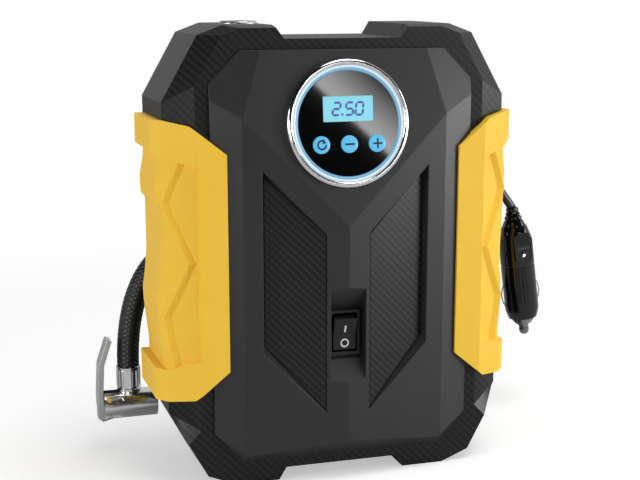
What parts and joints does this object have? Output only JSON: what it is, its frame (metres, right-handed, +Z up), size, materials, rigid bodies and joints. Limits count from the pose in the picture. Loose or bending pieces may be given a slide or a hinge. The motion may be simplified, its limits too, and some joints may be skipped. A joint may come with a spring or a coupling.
{
  "type": "portable tire inflator",
  "caption": "Portable 12 V tire inflator: a folded charcoal case with wrapped yellow grips, round digital gauge, rocker switch, braided hose with a lever chuck, and a cord with an adapter plug.",
  "frame": {"origin": "bottom centre of the case with its grips and clips, on the plane of its two feet", "axes": "+Z up, towards the lamp and the shoulders. +X towards the right-hand grip as a user faces the gauge. +Y from the gauge towards the back."},
  "size_m": [0.2393, 0.1773, 0.2052],
  "materials": {
    "case_charcoal": "satin, lightly textured",
    "grip_yellow": "soft-touch satin",
    "carbon_look": "printed twill under clear gloss",
    "chrome": "polished",
    "glow": "translucent, lit",
    "glass_black": "polished",
    "display": "lit display",
    "keys": "satin",
    "black_plastic": "moulded",
    "board_green": "solder mask",
    "steel": "plated",
    "brass": "machined",
    "alloy": "as cast",
    "nylon": "moulded",
    "rubber_black": "matt",
    "hose_braid": "woven sleeve",
    "cord_pvc": "satin",
    "lens_clear": "polished",
    "lever_grey": "powder coat"
  },
  "bodies": {
    "case": {"air_hose": "hose_braid", "air_tube": "rubber_black", "back_clips": "case_charcoal", "chuck_body": "chrome", "chuck_seal": "rubber_black", "coil_tie": "black_plastic", "cord_coil": "cord_pvc", "crank_bearing": "steel", "cylinder": "alloy", "cylinder_head": "alloy", "fascia": "case_charcoal", "front_shell": "case_charcoal", "gauge_bezel": "chrome", "gauge_board": "board_green", "gauge_glass": "glass_black", "gauge_housing": "black_plastic", "gauge_light_ring": "glow", "grip_left": "grip_yellow", "grip_right": "grip_yellow", "hose_ferrule": "chrome", "hose_outlet": "case_charcoal", "insert_left": "carbon_look", "insert_right": "carbon_look", "lamp_bezel": "chrome", "lamp_board": "board_green", "lamp_lens": "lens_clear", "lamp_reflector": "chrome", "lcd_module": "display", "lever_pin": "steel", "motor_can": "steel", "motor_end_cap": "black_plastic", "plug_boot": "rubber_black", "plug_collar": "chrome", "plug_contacts": "steel", "plug_fuse": "nylon", "plug_shell": "black_plastic", "plug_spring": "steel", "power_cord_case": "cord_pvc", "power_cord_plug": "cord_pvc", "pump_frame": "alloy", "pump_sleeves": "rubber_black", "rear_shell": "case_charcoal", "screws": "steel", "sensor_tube": "rubber_black", "strain_relief": "rubber_black", "switch_housing": "black_plastic", "switch_terminals": "brass", "valve_plate": "steel"},
    "rotor": {"motor_rotor": "steel", "fan": "black_plastic", "pinion": "steel"},
    "crank": {"crank_wheel": "nylon"},
    "piston": {"piston_rod": "alloy", "piston_cup": "nylon"},
    "rocker": {"switch_rocker": "black_plastic"},
    "key_reset": {"button_reset": "keys"},
    "key_minus": {"button_minus": "keys"},
    "key_plus": {"button_plus": "keys"},
    "lever": {"chuck_lever": "lever_grey"},
    "tip": {"plug_tip": "brass"}
  },
  "joints": [
    {"name": "motor_spin", "type": "hinge", "parent": "case", "child": "rotor", "pos_m": [-0.03, -0.0015, 0.05], "axis": [0, 0, 1], "continuous": true},
    {"name": "crank_spin", "type": "hinge", "parent": "case", "child": "crank", "pos_m": [-0.0028, -0.0015, 0.09], "axis": [0, 0, 1], "continuous": true},
    {"name": "piston_stroke", "type": "slide", "parent": "case", "child": "piston", "axis": [-1, 0, 0], "range_m": [0, 0.016]},
    {"name": "switch_rock", "type": "hinge", "parent": "case", "child": "rocker", "pos_m": [0, -0.0301, 0.068], "axis": [-1, 0, 0], "range_deg": [0, 20]},
    {"name": "key_reset_press", "type": "slide", "parent": "case", "child": "key_reset", "axis": [0, 0.9952, -0.0977], "range_m": [0, 0.0008], "stiffness_N_per_m": 400},
    {"name": "key_minus_press", "type": "slide", "parent": "case", "child": "key_minus", "axis": [0, 0.9952, -0.0977], "range_m": [0, 0.0008], "stiffness_N_per_m": 400},
    {"name": "key_plus_press", "type": "slide", "parent": "case", "child": "key_plus", "axis": [0, 0.9952, -0.0977], "range_m": [0, 0.0008], "stiffness_N_per_m": 400},
    {"name": "lever_turn", "type": "hinge", "parent": "case", "child": "lever", "pos_m": [-0.097, 0.0341, 0.0195], "axis": [0, -1, 0], "range_deg": [0, 90]},
    {"name": "tip_press", "type": "slide", "parent": "case", "child": "tip", "axis": [-0.1392, 0, 0.9903], "range_m": [0, 0.003], "stiffness_N_per_m": 300, "deforming": ["plug_spring"]}
  ],
  "couplings": [
    {"joint": "crank_spin", "follows": "motor_spin", "ratio": -0.21429}
  ]
}
